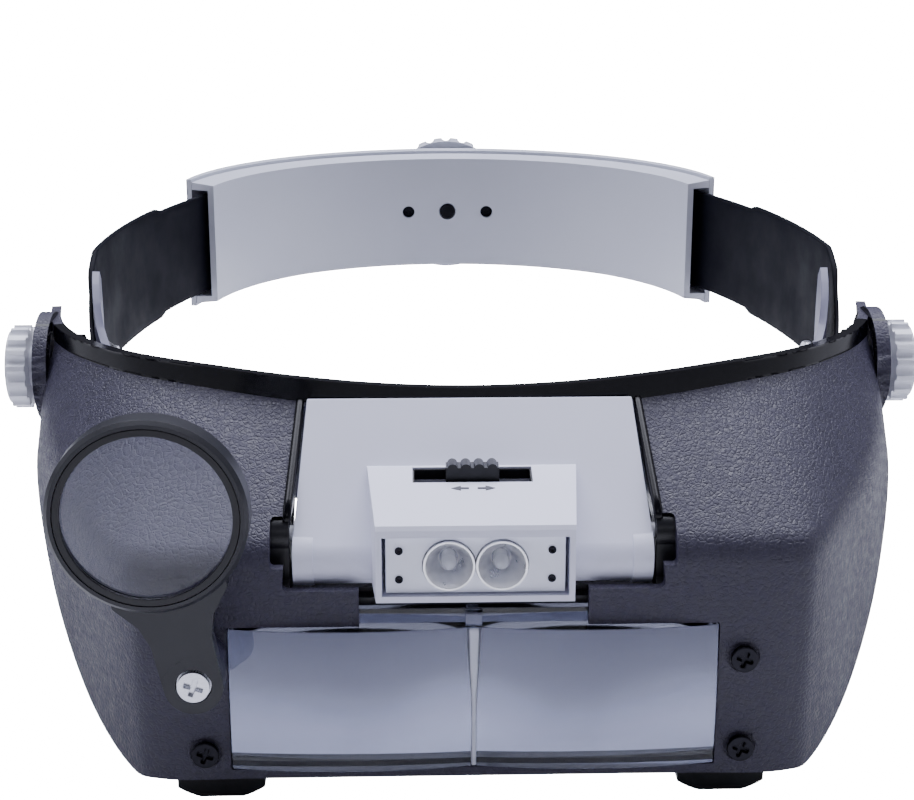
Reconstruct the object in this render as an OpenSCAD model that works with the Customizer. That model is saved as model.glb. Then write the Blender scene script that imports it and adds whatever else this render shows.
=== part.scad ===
// Head visor magnifier: an adjustable headband carries a tilting visor with a two-panel lens,
// a flip-down inner lens, a swing-out loupe and a tilting battery lamp.
// Units are millimetres. +Z is up, -Y is the front, +X is to the right seen from the front.
// The origin is the centre of the head opening, at the mid height of the straps.

/* [Headband] */
// Half width of the strap line at the temples
band_half_width = 83.3; // [82.8:0.1:83.5]
// Height of the wide part of each strap
strap_height = 28.6; // [26:0.2:29]
// Thickness of a strap
strap_wall = 1.4; // [1.2:0.1:1.5]
// Thickness of the forehead band
band_wall = 1.6; // [1.4:0.1:2]
// Thickness of the soft forehead pad
pad_thick = 4.0; // [3:0.5:6]

/* [Rear adjuster] */
// Height of the rear cover at the head side
cover_height = 32; // [31.6:0.1:33]
// Radius of the rear size knob
rear_knob_r = 19.5; // [15:0.5:22]
// Distance between the two cover screws
cover_screw_pitch = 23.6; // [22:0.1:26]
// Radius of the open holes over the cover screws
cover_hole_r = 1.8; // [1.5:0.1:2]

/* [Visor] */
// Wall of the visor shell
shell_wall = 2.2; // [1.8:0.1:2.4]
// Height of the bottom edge of the lens box
box_bottom_z = -72; // [-74:0.5:-72]
// Half width of the visible lens window
window_half = 46.3; // [44:0.1:46.5]
// Tilt knob radius
knob_r = 9.1; // [8:0.1:10]

/* [Lamp] */
// Slope of the lamp cover at rest
lamp_slope = 46; // [44:1:48]
// Half width of the lamp at its top edge
lamp_half_top = 31.7; // [31:0.1:32]
// Half width of the lamp along its barrel
lamp_half_low = 33.6; // [33:0.1:34]
// Diameter of a battery cell
cell_d = 10.5; // [10:0.1:10.5]
// Length of a battery cell
cell_len = 44.5; // [44:0.1:44.5]

/* [Loupe] */
// Outer radius of the loupe ring
loupe_r = 17.8; // [16:0.1:18.4]
// Distance from the loupe pivot to the ring centre
loupe_reach = 33.4; // [32:0.1:35]

/* [Hidden] */
$fn = 64;
fit = 0.1;

// Strap line in plan: rear arc, flat side arc, squarish oval round the forehead
rear_r = 70;
rear_y = 40.5;
turn_a = 24;
side_r = (band_half_width - rear_r * cos(turn_a)) / (1 - cos(turn_a)) ;
side_x = band_half_width - side_r;
side_y = rear_y + (rear_r - side_r) * sin(turn_a);
front_b = side_y + 75.5;
front_pow = 0.62;

// Tilt axis of the visor, through the temples
tilt_y = -42;
tilt_z = -8.5;
ear_in = 89.2;
ear_out = 92.2;
spacer_end = 88.8;
head_in = 75.8;
knob_start = 92.5;

// Lens box
face_y = -112;
box_top_z = -25.5;
screw_x = 51;
screw_z = [-47.8, -66.3];

// Lamp pivot axis, local lamp frame: y up the slope, z out of the cover
pivot_y = -104;
pivot_z = -25;
lamp_top = 2.2;
lamp_len = 27.9;
lamp_end = 26.2;
barrel_y = -3.5;
barrel_z = -3;
barrel_r = 5.2;
floor_z = -14;

// Loupe pivot
loupe_x = -51;
loupe_z = -46.5;
loupe_back = -121.6;
loupe_front = -127;
loupe_lean = 11.4;

// Inner lens hinge axis
hinge_y = -100.5;
hinge_z = -37.5;

// Sub-part to draw, or all of them

// ---------------------------------------------------------------- strap line
// Point of the strap line at angle a (90 rear, 0 temple, -90 front), moved outward by d
function line_at(a, d) =
    a < -90 ? let (p = line_at(-180 - a, d)) [-p.x, p.y]
    : a >= turn_a ? [(rear_r + d) * cos(a), rear_y + (rear_r + d) * sin(a)]
    : a >= 0 ? [side_x + (side_r + d) * cos(a), side_y + (side_r + d) * sin(a)]
    : let (
          c = max(cos(a), 0),
          s = -sin(a),
          n = [pow(c, 2 - front_pow) / band_half_width, -pow(s, 2 - front_pow) / front_b],
          u = n / norm(n)
      )
      [band_half_width * pow(c, front_pow) + d * u.x, side_y - front_b * pow(s, front_pow) + d * u.y];

// Angles from a0 down to a1, closer together along the flat sides
function steps(a0, a1, n) = [for (i = [0:n]) a0 + (a1 - a0) * i / n];

// Flat plan outline of a layer between offsets d0 and d1 along the line
module layer(angles, d0, d1) {
    outer = [for (a = angles) line_at(a, d1)];
    inner = [for (i = [len(angles) - 1:-1:0]) line_at(angles[i], d0)];
    polygon(concat(outer, inner));
}

// Both halves of a side view outline (y, z) drawn right across the part
module side_slab(points, half) {
    rotate([90, 0, 90])
        translate([0, 0, -half])
            linear_extrude(2 * half)
                polygon(points);
}

// Cylinder along Y from y0 to y1
module y_rod(x, z, y0, y1, r) {
    translate([x, y1, z])
        rotate([90, 0, 0])
            cylinder(h = y1 - y0, r = r);
}

// Cylinder along X from x0 to x1
module x_rod(y, z, x0, x1, r) {
    translate([x0, y, z])
        rotate([0, 90, 0])
            cylinder(h = x1 - x0, r = r);
}

// Cross recess of a Phillips head, cut along Y from its outer face y0 inward
module cross_cut(x, z, y0, depth, span) {
    for (t = [0, 90])
        translate([x, y0 + depth / 2, z])
            rotate([0, t + 20, 0])
                cube([span, depth, span * 0.24], center = true);
}

// ---------------------------------------------------------------- headband
// Side view of the forehead band: it drops and narrows toward the brow
band_side = [
    [-34.5, 9.5], [-37, 11.6], [-40, 9.4], [-44, 5.8], [-48, 1.6], [-54, -3], [-60, -5.6], [-80, -7.5],
    [-80, -30], [-57, -27], [-42, -21], [-36, -16.5], [-34.5, -9], [-34, 2]
];

module forehead_band() {
    color([0.2, 0.2, 0.24])
        difference() {
            intersection() {
                side_slab(band_side, 90);
                translate([0, 0, -40])
                    linear_extrude(60)
                        layer(steps(2, -182, 92), -1.6 - band_wall, -1.6);
            }
            x_rod(tilt_y, tilt_z, -90, 90, 2.05);
            // Row of vent slots over the brow
            for (x = [-30:12:30])
                translate([x, -74, -18])
                    cube([7, 14, 3.5], center = true);
        }
}

module forehead_pad() {
    color([0.12, 0.12, 0.13])
        intersection() {
            side_slab([[-47.5, 1.5], [-57, -5], [-80, -8.5], [-80, -29], [-57, -26], [-47.5, -22]], 90);
            translate([0, 0, -40])
                linear_extrude(60)
                    layer(steps(-24, -156, 66), -3.6 - pad_thick, -3.6);
        }
}

// One strap: wide at the temple, narrower into the rear cover, with a rack slot in its tail
tail_half = strap_height / 2 - 1;
rack_r = 5.5;
tooth_pitch = 2 * PI * rack_r / 11;
// Side view of the strap's front end, rounded off round the tilt bolt
strap_end = [
    [60, strap_height / 2], [-26, strap_height / 2], [-33, 11], [-38, 5.5], [-43, 1], [-48, -2], [-51.5, -5.5],
    [-52.5, -9], [-50.5, -12.6], [-46, -strap_height / 2], [60, -strap_height / 2]
];
module strap(d, rack_up) {
    difference() {
        union() {
            intersection() {
                side_slab(strap_end, 100);
                translate([0, 0, -strap_height / 2])
                    linear_extrude(strap_height)
                        layer(steps(14, -29, 56), d, d + strap_wall);
            }
            translate([0, 0, -tail_half])
                linear_extrude(2 * tail_half)
                    layer(steps(118, 13, 54), d, d + strap_wall);
        }
        x_rod(tilt_y, tilt_z, 60, 100, 2.05);
        // Rack slot through the tail, its teeth along one edge
        translate([0, rear_y, 0])
            rotate([0, 0, 74])
                rotate_extrude(angle = 38)
                    translate([rear_r - 4, -rack_r - 1.3])
                        square([8, 2 * rack_r + 2.6]);
    }
    // Teeth of the rack
    for (i = [-4:5])
        rack_tooth(90 + i * tooth_angle, d, rack_up ? 1 : -1);
}
tooth_angle = tooth_pitch / rear_r * 180 / PI;
module rack_tooth(a, d, up) {
    translate([0, rear_y, 0])
        rotate([0, 0, a + (up > 0 ? tooth_angle / 2 : 0)])
            translate([rear_r + d, 0, up * (rack_r + 1.35)])
                rotate([0, 90, 0])
                    linear_extrude(strap_wall)
                        polygon([[-up * 0.3, -1.1], [-up * 0.3, 1.1], [up * 2.1, 0.45], [up * 2.1, -0.45]]);
}

module strap_left() {
    color([0.15, 0.15, 0.19])
        mirror([1, 0, 0])
            strap(-1.5, false);
}

module strap_right() {
    color([0.15, 0.15, 0.19])
        strap(0.1, true);
}

module temple_bolts() {
    color([0.72, 0.72, 0.74])
        for (m = [0, 1])
            mirror([m, 0, 0]) {
                x_rod(tilt_y, tilt_z, head_in, head_in + 1.5, 4.5);
                x_rod(tilt_y, tilt_z, head_in + 1.4, knob_start + 5.4, 1.95);
            }
}

// Toothed friction spacers between strap and ear
module temple_spacers() {
    color([0.08, 0.08, 0.09])
        for (m = [0, 1])
            mirror([m, 0, 0])
                difference() {
                    union() {
                        x_rod(tilt_y, tilt_z, m == 0 ? 84.8 : 83.2, spacer_end, 7);
                        for (a = [0:20:359])
                            translate([0, tilt_y, tilt_z])
                                rotate([a, 0, 0])
                                    translate([spacer_end - 2.4, -0.8, 6.5])
                                        cube([2.2, 1.6, 1.4]);
                    }
                    x_rod(tilt_y, tilt_z, 70, 90, 1.95);
                }
}

// ---------------------------------------------------------------- tilt knobs
flutes = 16;
module tilt_knob() {
    difference() {
        union() {
            x_rod(tilt_y, tilt_z, knob_start + 2, knob_start + 5.8, knob_r);
            x_rod(tilt_y, tilt_z, knob_start + 5.7, knob_start + 6.4, knob_r - 1);
            x_rod(tilt_y, tilt_z, knob_start, knob_start + 2.1, 4.6);
        }
        for (i = [0:flutes - 1])
            translate([0, tilt_y, tilt_z])
                rotate([i * 360 / flutes, 0, 0])
                    translate([knob_start + 1.9, 0, knob_r + 0.25])
                        rotate([0, 90, 0])
                            cylinder(h = 7, r = 1.3, $fn = 24);
        x_rod(tilt_y, tilt_z, knob_start - 1, knob_start + 5.5, 2);
        // Dished outer face
        x_rod(tilt_y, tilt_z, knob_start + 5.95, knob_start + 7, knob_r - 3.4);
    }
}

module knob_right() {
    color([0.86, 0.87, 0.9])
        tilt_knob();
}

module knob_left() {
    color([0.86, 0.87, 0.9])
        mirror([1, 0, 0])
            tilt_knob();
}

// ---------------------------------------------------------------- rear adjuster
cover_a = 13;
cover_wall = 1.7;
cover_in = rear_r - 3.6;
cavity_out = rear_r + 2.6;
lip_half = cover_height / 2;
back_r = 73.2;
back_y = 45.8;

// Wedge of the plan that the rear cover fills
module cover_wedge() {
    polygon([[0, rear_y], [140 * cos(cover_a), rear_y + 140 * sin(cover_a)], [0, 200],
        [-140 * cos(cover_a), rear_y + 140 * sin(cover_a)]]);
}

module rear_cover_inner() {
    color([0.7, 0.7, 0.74])
        difference() {
            translate([0, rear_y, 0])
                rotate([0, 0, cover_a])
                    rotate_extrude(angle = 180 - 2 * cover_a, $fn = 180)
                        polygon([
                            [cover_in, -lip_half], [cavity_out, -lip_half - 0.8], [cavity_out, -lip_half + 1.2],
                            [cover_in + cover_wall, -lip_half + 1.4], [cover_in + cover_wall, lip_half - 1.4],
                            [cavity_out, lip_half - 1.2], [cavity_out, lip_half + 0.8], [cover_in, lip_half]
                        ]);
            for (s = [-1, 1]) {
                y_rod(s * cover_screw_pitch / 2, 0, 100, 107.9, cover_hole_r);
                y_rod(s * cover_screw_pitch / 2, 0, 107.8, 110, 1.05);
            }
            y_rod(0, 0, 100, 112, 2.5);
        }
}

module rear_cover_outer() {
    color([0.68, 0.68, 0.72])
        difference() {
            translate([0, 0, -lip_half - 1.6])
                linear_extrude(2 * lip_half + 3.2)
                    intersection() {
                        difference() {
                            translate([0, back_y])
                                circle(r = back_r, $fn = 180);
                            translate([0, rear_y])
                                circle(r = cavity_out + fit, $fn = 180);
                        }
                        cover_wedge();
                    }
            // Hollow for the pinion, a stepped bore for the knob shaft and pilot bores for the screws
            y_rod(0, 0, 108, 114.6, 8.2);
            y_rod(0, 0, 110, 130, 4.1);
            for (s = [-1, 1])
                y_rod(s * cover_screw_pitch / 2, 0, 108, 117, 1);
        }
}

module cover_screws() {
    color([0.6, 0.6, 0.62])
        for (s = [-1, 1])
            difference() {
                union() {
                    y_rod(s * cover_screw_pitch / 2, 0, 108.2, 116.4, 0.98);
                    y_rod(s * cover_screw_pitch / 2, 0, 107.4, 108.3, 1.45);
                }
                cross_cut(s * cover_screw_pitch / 2, 0, 107.3, 0.5, 1.8);
            }
}

module pinion() {
    color([0.85, 0.85, 0.85])
        difference() {
            translate([0, 112.6, 0])
                rotate([90, 0, 0])
                    linear_extrude(3.8)
                        union() {
                            circle(r = rack_r - 1.35);
                            for (i = [0:10])
                                rotate(i * 360 / 11)
                                    translate([0, rack_r - 0.4])
                                        polygon([[-0.95, -1.4], [0.95, -1.4], [0.4, 1.2], [-0.4, 1.2]]);
                        }
            y_rod(0, 0, 100, 120, 1.6);
        }
}

module knob_axle() {
    color([0.1, 0.1, 0.1])
        union() {
            y_rod(0, 0, 107.2, 128, 1.58);
            y_rod(0, 0, 106.9, 107.9, 2.2);
        }
}

module rear_knob() {
    color([0.68, 0.68, 0.72])
        difference() {
            union() {
                y_rod(0, 0, 120.2, 129.6, rear_knob_r);
                y_rod(0, 0, 129.5, 131, rear_knob_r - 2.2);
                y_rod(0, 0, 112.7, 120.3, 3.9);
            }
            for (i = [0:23])
                rotate([0, i * 15, 0])
                    translate([0, 130, rear_knob_r + 0.6])
                        rotate([90, 0, 0])
                            cylinder(h = 8, r = 1.5, $fn = 24);
            y_rod(0, 0, 110, 128.2, 1.6);
            // Dished back with a raised hub left standing
            difference() {
                y_rod(0, 0, 129, 132, rear_knob_r - 5);
                y_rod(0, 0, 128, 130.4, 6);
            }
        }
}

// ---------------------------------------------------------------- visor shell
// Control paths of the right half, front centre to ear: [x, y, z] at nine stations
brow_path = [
    [0, -85, -2.2], [18, -84.8, -1.6], [36, -83.4, -0.2], [52, -79, 0.9], [66, -72, 1.2],
    [76, -63.5, 1.2], [84, -54, 1.4], [89.2, -44, 2], [ear_out - 0.3, -31, 2.5]
];
crease_path = [
    [0, face_y, box_top_z], [20, face_y, box_top_z], [42, face_y, box_top_z], [61, -111.6, box_top_z],
    [69, -106, box_top_z], [76.5, -92, -23], [84.5, -75, -19.5], [90, -56, -13.5], [ear_out, -31, -6]
];
rim_path = [
    [0, face_y, box_bottom_z], [20, face_y, box_bottom_z], [42, face_y, box_bottom_z],
    [60, -111.4, box_bottom_z], [68.5, -105.5, box_bottom_z + 1.5], [76.5, -95, -61], [85, -80, -43.5],
    [91, -60, -24], [ear_out, -31, -18]
];
stations = len(brow_path) - 1;
cols_per_station = 4;

// Smooth curve through a control path at parameter s, symmetric about the front centre
function at(path, i) = i < 0 ? [-path[-i].x, path[-i].y, path[-i].z]
    : i > stations ? 2 * path[stations] - path[stations - 1] : path[i];
function spline(path, s) =
    let (
        i = min(floor(s), stations - 1),
        t = s - i,
        a = at(path, i - 1),
        b = at(path, i),
        c = at(path, i + 1),
        d = at(path, i + 2)
    )
    0.5 * (2 * b + (c - a) * t + (2 * a - 5 * b + 4 * c - d) * t * t + (3 * b - a - 3 * c + d) * t * t * t);
function out_normal(path, s) =
    let (
        e = 0.05,
        q = spline(path, min(s + e, stations)) - spline(path, max(s - e, 0)),
        n = [-q.y, q.x] * -1
    )
    n / norm(n);

// Skin point at column parameter s and row r; w is how far inside the outer skin it lies
brow_rim = 5;
function shifted(path, s, w, drop) =
    let (p = spline(path, s), n = out_normal(path, s))
    [p.x - n.x * w, p.y - n.y * w, p.z - drop];
function mix(a, b, t) = a + (b - a) * t;
skin_rows = 11;
function skin(s, r, w) =
    let (
        a = shifted(brow_path, s, w, 0),
        b = shifted(brow_path, s, w - 0.4, brow_rim * (1 - 0.45 * s / stations) + 0.2 * w),
        c = shifted(crease_path, s, w, 0.75 * w),
        d = shifted(rim_path, s, w, 0),
        round_len = 6.5,
        f = min(0.45, round_len / norm(c - b)),
        g = min(0.45, round_len / norm(d - c)),
        p = mix(c, b, f),
        q = mix(c, d, g),
        k = (r - 4) / 3
    )
    r == 0 ? a
    : r == 1 ? b
    : r == 2 ? mix(b, p, 0.35)
    : r == 3 ? mix(b, p, 0.7)
    : r <= 7 ? mix(mix(p, c, k), mix(c, q, k), k)
    : mix(q, d, (r - 7) / 3);

module skin_solid() {
    n = stations * cols_per_station;
    cols = 2 * n + 1;
    pts = [
        for (i = [-n:n])
            for (side = [0, 1])
                for (r = [0:skin_rows - 1])
                    let (p = skin(abs(i) / cols_per_station, r, side * shell_wall))
                    [i < 0 ? -p.x : p.x, p.y, p.z]
    ];
    function id(i, side, r) = (i * 2 + side) * skin_rows + r;
    last = skin_rows - 1;
    faces = concat(
        [for (i = [0:cols - 2]) for (r = [0:last - 1]) each [
            [id(i, 0, r), id(i + 1, 0, r), id(i + 1, 0, r + 1)],
            [id(i, 0, r), id(i + 1, 0, r + 1), id(i, 0, r + 1)],
            [id(i, 1, r), id(i + 1, 1, r + 1), id(i + 1, 1, r)],
            [id(i, 1, r), id(i, 1, r + 1), id(i + 1, 1, r + 1)]
        ]],
        [for (i = [0:cols - 2]) each [
            [id(i, 0, 0), id(i + 1, 1, 0), id(i + 1, 0, 0)],
            [id(i, 0, 0), id(i, 1, 0), id(i + 1, 1, 0)],
            [id(i, 0, last), id(i + 1, 0, last), id(i + 1, 1, last)],
            [id(i, 0, last), id(i + 1, 1, last), id(i, 1, last)]
        ]],
        [for (r = [0:last - 1]) each [
            [id(0, 0, r), id(0, 0, r + 1), id(0, 1, r + 1)],
            [id(0, 0, r), id(0, 1, r + 1), id(0, 1, r)],
            [id(cols - 1, 0, r), id(cols - 1, 1, r + 1), id(cols - 1, 0, r + 1)],
            [id(cols - 1, 0, r), id(cols - 1, 1, r), id(cols - 1, 1, r + 1)]
        ]]
    );
    polyhedron(pts, faces);
}

cut_low_z = -33.7;
cut_top_z = -5.6;
notch_half = 21.5;
window_top_z = -40.8;
window_low_z = box_bottom_z + 1.9;
// Front view outline of the lamp cut-out, the notch below it and the lens window
module front_cut(points, y0, y1) {
    translate([0, y1, 0])
        rotate([90, 0, 0])
            linear_extrude(y1 - y0)
                polygon(points);
}

module visor_shell() {
    color([0.17, 0.17, 0.2])
        difference() {
            union() {
                skin_solid();
                for (m = [0, 1])
                    mirror([m, 0, 0])
                        x_rod(tilt_y, tilt_z, ear_in, ear_out, 12);
                // Post that carries the loupe clear of the lamp hood
                y_rod(loupe_x, loupe_z, -118.9, face_y + 1, 5);
            }
            front_cut([
                [-lamp_half_top - 1.8, cut_top_z], [lamp_half_top + 1.8, cut_top_z],
                [lamp_half_low + 2.2, cut_low_z], [-lamp_half_low - 2.2, cut_low_z]
            ], -130, -78);
            // Wider there for the brackets of the lamp pins
            front_cut([[-39, -30.2], [39, -30.2], [39, -20.6], [-39, -20.6]], -130, -98);
            front_cut([
                [-notch_half, cut_low_z + 1], [notch_half, cut_low_z + 1],
                [notch_half, window_top_z - 1], [-notch_half, window_top_z - 1]
            ], -130, -100);
            front_cut([
                [-window_half, window_top_z], [window_half, window_top_z],
                [window_half, window_low_z], [-window_half, window_low_z]
            ], -130, -100);
            for (m = [0, 1])
                mirror([m, 0, 0]) {
                    x_rod(tilt_y, tilt_z, 80, 95, 2.05);
                    // Flat seat for the friction spacer
                    x_rod(tilt_y, tilt_z, 80, ear_in, 9);
                }
            // Screw holes; the fourth corner is the loupe post
            y_rod(-screw_x, screw_z[1], -120, -100, 1.55);
            y_rod(screw_x, screw_z[0], -120, -100, 1.55);
            y_rod(screw_x, screw_z[1], -120, -100, 1.55);
            y_rod(loupe_x, loupe_z, -130, -100, 1.3);
        }
}

// Frame behind the lens: it clamps the lens flange and carries the inner lens hinge
retainer_y = -107.4;
shelf_z = -35.7;
window_in = 46.8;
module lens_retainer() {
    color([0.06, 0.06, 0.07])
        difference() {
            union() {
                translate([-57, retainer_y, -71.6])
                    cube([114, 2.4, 71.6 + shelf_z]);
                // Shelf that closes the visor below the lamp
                translate([-38.8, face_y + 2.5, shelf_z - 1.1])
                    cube([77.6, 18.4, 1.1]);
                for (m = [0, 1])
                    mirror([m, 0, 0]) {
                        // Hinge lugs
                        translate([60.4, hinge_y - 4, hinge_z - 3.6])
                            cube([2.6, 7.6, 7.2]);
                        translate([55, retainer_y, hinge_z - 3.6])
                            cube([8, 3.2, 7.2]);
                        // Screw bosses
                        for (z = screw_z)
                            y_rod(screw_x, z, -109.5, retainer_y + 0.5, 3 - 0.5);
                    }
            }
            translate([-window_in, -110, -70.4])
                cube([2 * window_in, 8, 30.6]);
            // Relief for the lamp hood as it tilts
            translate([-22.5, -110, -36.9])
                cube([45, 5, 10]);
            y_rod(loupe_x, loupe_z, -112, -100, 1.5);
            for (x = [-screw_x, screw_x])
                for (z = screw_z)
                    y_rod(x, z, -112, -100, 1.3);
            x_rod(hinge_y, hinge_z, -70, 70, 1.25);
        }
}

// Two magnifying panels side by side on one flange
lens_half = 46;
lens_top_z = -41.1;
lens_low_z = -69.8;
lens_mid_z = (lens_top_z + lens_low_z) / 2;
bulge_r = 130;
module main_lens() {
    color([0.75, 0.8, 0.9, 0.45])
        union() {
            translate([-48.3, -109.6, -71.4])
                cube([96.6, 2, 33.1]);
            for (s = [-1, 1])
                intersection() {
                    translate([s > 0 ? 0 : -lens_half, -116, lens_low_z])
                        cube([lens_half, 7, lens_top_z - lens_low_z]);
                    translate([s * lens_half / 2, -114.9 + bulge_r, lens_mid_z])
                        sphere(r = bulge_r, $fn = 120);
                }
            // Moulded tab over the seam
            translate([-1.6, -111.4, -41.2])
                cube([3.2, 2, 2.6]);
        }
}

module shell_screws() {
    color([0.05, 0.05, 0.06])
        for (p = [[-screw_x, screw_z[1]], [screw_x, screw_z[0]], [screw_x, screw_z[1]]])
            difference() {
                union() {
                    y_rod(p.x, p[1], face_y - 1.7, face_y - 0.4, 2.6);
                    y_rod(p.x, p[1], face_y - 0.5, -104.6, 1.25);
                }
                cross_cut(p.x, p[1], face_y - 1.9, 1.1, 3.2);
            }
}

// Clips at the sides of the cut-out that hold the lamp pins
bracket_in = 34.4;
module lamp_brackets() {
    color([0.06, 0.06, 0.07])
        for (m = [0, 1])
            mirror([m, 0, 0])
                difference() {
                    union() {
                        x_rod(pivot_y, pivot_z, bracket_in, 38.6, 3.8);
                        translate([bracket_in, pivot_y - 3.2, shelf_z])
                            cube([38.6 - bracket_in, 6.2, pivot_z - shelf_z]);
                        // Fillet strip under the roof, beside the lamp
                        translate([bracket_in, 0, 0])
                            rotate([90, 0, 90])
                                linear_extrude(38.6 - bracket_in)
                                    polygon([[-108.5, -34.2], [-108.5, shelf_z], [-103, shelf_z],
                                        [-84, -20.5], [-84, -19]]);
                    }
                    x_rod(pivot_y, pivot_z, 30, 41, 1.65);
                }
}

// ---------------------------------------------------------------- inner lens
frame_y0 = -103.2;
frame_y1 = -100.2;
inner_low_z = -70.6;
inner_top_z = -41.1;
module inner_lens_frame() {
    color([0.05, 0.05, 0.06])
        difference() {
            union() {
                translate([0, frame_y1, 0])
                    rotate([90, 0, 0])
                        linear_extrude(frame_y1 - frame_y0)
                            union() {
                                translate([-57.4, -72.5])
                                    square([114.8, 33]);
                                // Finger tabs under the visor, rounded below
                                for (s = [-1, 1])
                                    translate([s * 49.4, 0])
                                        intersection() {
                                            translate([-8.6, -80.6])
                                                square([17.2, 12]);
                                            translate([0, -66])
                                                circle(r = 15.2, $fn = 90);
                                        }
                            }
                // Hinge barrels at the top corners
                for (m = [0, 1])
                    mirror([m, 0, 0]) {
                        x_rod(hinge_y, hinge_z, 50, 60, 2.6);
                        translate([50, frame_y0, hinge_z - 4])
                            cube([7.4, 3, 4]);
                    }
            }
            translate([-window_in, frame_y0 - 1, inner_low_z])
                cube([2 * window_in, 5, inner_top_z - inner_low_z]);
            x_rod(hinge_y, hinge_z, -70, 70, 1.2);
        }
}

module inner_lens() {
    color([0.75, 0.8, 0.9, 0.45])
        intersection() {
            translate([-window_in + fit, frame_y0 - 2, inner_low_z + fit])
                cube([2 * (window_in - fit), 4.6, inner_top_z - inner_low_z - 2 * fit]);
            // Front face bulges gently from side to side
            translate([0, frame_y0 - 1.6 + 420, -80])
                cylinder(h = 60, r = 420, $fn = 720);
        }
}

module hinge_pins() {
    color([0.7, 0.7, 0.72])
        for (m = [0, 1])
            mirror([m, 0, 0])
                x_rod(hinge_y, hinge_z, 51, 64, 1.18);
}

// ---------------------------------------------------------------- lamp
// Moves its children into the lamp frame: origin on the pivot, y up the slope, z out
module in_lamp() {
    translate([0, pivot_y, pivot_z])
        rotate([lamp_slope, 0, 0])
            children();
}

// Slab across the lamp from a (y, z) outline in the lamp frame, sides flared toward the barrel
module lamp_slab(points, inset) {
    intersection() {
        side_slab(points, lamp_half_low + 1);
        translate([0, 0, -30])
            linear_extrude(60)
                polygon([
                    [-lamp_half_low + inset, -12], [lamp_half_low - inset, -12],
                    [lamp_half_low - inset, 0], [lamp_half_top - inset, lamp_len],
                    [-lamp_half_top + inset, lamp_len], [-lamp_half_low + inset, 0]
                ]);
    }
}

lamp_wall = 1.5;
cell_z = -6.9;
cell_y = [19.4, 8.8];
split_z = -4.9;
tray_y = 3.5;
module lamp_housing() {
    color([0.7, 0.71, 0.75])
        in_lamp()
            difference() {
                lamp_slab([[lamp_end - 0.2, split_z], [lamp_end - 0.4, -7], [22, floor_z], [3, floor_z],
                    [2.2, split_z]], 0);
                // Tray for the cells
                translate([-lamp_half_top + lamp_wall, tray_y, -12.4])
                    cube([2 * (lamp_half_top - lamp_wall), 21.2, 20]);
                // Door opening in the floor
                translate([-24, 6, floor_z - 2])
                    cube([48, 15, 6]);
            }
}

// Side view outline of the hood in part axes (y, z)
hood_front = -119.5;
hood_side = [[-96.4, -14.4], [-98.5, -13.9], [-118.9, -18.4], [hood_front, -19.2], [hood_front, -33], [-108.8, -33.6], [-104.5, -24]];
module hood_plan(inset) {
    polygon([[-20.3 + inset, -94], [20.3 - inset, -94], [18 - inset, hood_front - 1], [-18 + inset, hood_front - 1]]);
}
module hood_body(inset) {
    intersection() {
        side_slab(hood_side, 30);
        translate([0, 0, -60])
            linear_extrude(60)
                hood_plan(inset);
    }
}

slot_half = 11.3;
slot_y = -100.6;
slot_back = -98.8;
slot_front = -104.2;
module lamp_cover() {
    color([0.74, 0.75, 0.79])
        difference() {
            union() {
                in_lamp()
                    difference() {
                        union() {
                            lamp_slab([[barrel_y, lamp_top], [lamp_len - 0.7, lamp_top], [lamp_len, lamp_top - 0.9],
                                [lamp_end + 0.2, 0.2], [lamp_end - 0.2, split_z + fit],
                                [barrel_y, split_z + fit]], 0);
                            x_rod(barrel_y, barrel_z, -lamp_half_low, lamp_half_low, barrel_r);
                            // End collars of the barrel
                            for (m = [0, 1])
                                mirror([m, 0, 0])
                                    x_rod(barrel_y, barrel_z, lamp_half_low - 3.6, lamp_half_low + 0.2,
                                        barrel_r + 0.3);
                        }
                        // Room over the cells, and over the tray's front wall
                        translate([-lamp_half_top + lamp_wall, 2, -12])
                            cube([2 * (lamp_half_top - lamp_wall), 22.6, 12 + lamp_top - lamp_wall]);
                        for (m = [0, 1])
                            mirror([m, 0, 0])
                                x_rod(0, 0, lamp_half_low - 4, lamp_half_low + 2, 1.5);
                    }
                hood_body(0);
            }
            // Hollow of the hood, open at the front
            intersection() {
                translate([-17, hood_front - 1, -31.8])
                    cube([34, 14.2, 11.3]);
                hood_plan_block(1);
            }
            // Room for the arm behind the lamp carrier
            translate([-14, -107, -29])
                cube([28, 6.6, 9]);
            // Sockets for the carrier pivots
            translate([0, swing_y, -32.9])
                cylinder(h = 13.6, r = 1.45);
            // Slider slot
            translate([-slot_half, slot_front, -24])
                cube([2 * slot_half, slot_back - slot_front, 14]);
        }
}
module hood_plan_block(inset) {
    translate([0, 0, -60])
        linear_extrude(60)
            hood_plan(inset);
}

module battery_door() {
    color([0.68, 0.69, 0.73])
        in_lamp()
            difference() {
                translate([-23.8, 6.2, floor_z - 0.6])
                    cube([47.6, 14.6, 2]);
                // Grip ribs
                for (i = [-3:3])
                    translate([i * 2.2 - 0.4, 8, floor_z - 1])
                        cube([0.8, 5, 0.9]);
            }
}

module battery_cells() {
    color([0.2, 0.45, 0.3])
        in_lamp()
            for (i = [0, 1]) {
                s = i == 0 ? 1 : -1;
                x_rod(cell_y[i], cell_z, -cell_len / 2 + (s > 0 ? 0 : 0.8), cell_len / 2 - (s > 0 ? 0.8 : 0),
                    cell_d / 2 - 0.05);
                translate([s * (cell_len / 2 - 0.9) - (s > 0 ? 0 : 0.9), 0, 0])
                    x_rod(cell_y[i], cell_z, 0, 0.9, 1.9);
            }
}

module battery_contacts() {
    color([0.75, 0.73, 0.68])
        in_lamp()
            for (i = [0, 1])
                for (s = [-1, 1]) {
                    translate([s > 0 ? 27.2 : -27.6, cell_y[i] - 4, cell_z - 4])
                        cube([0.4, 8, 8]);
                    x_rod(cell_y[i], cell_z, s > 0 ? 22.4 : -27.3, s > 0 ? 27.3 : -22.4, 1.8);
                }
}

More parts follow.
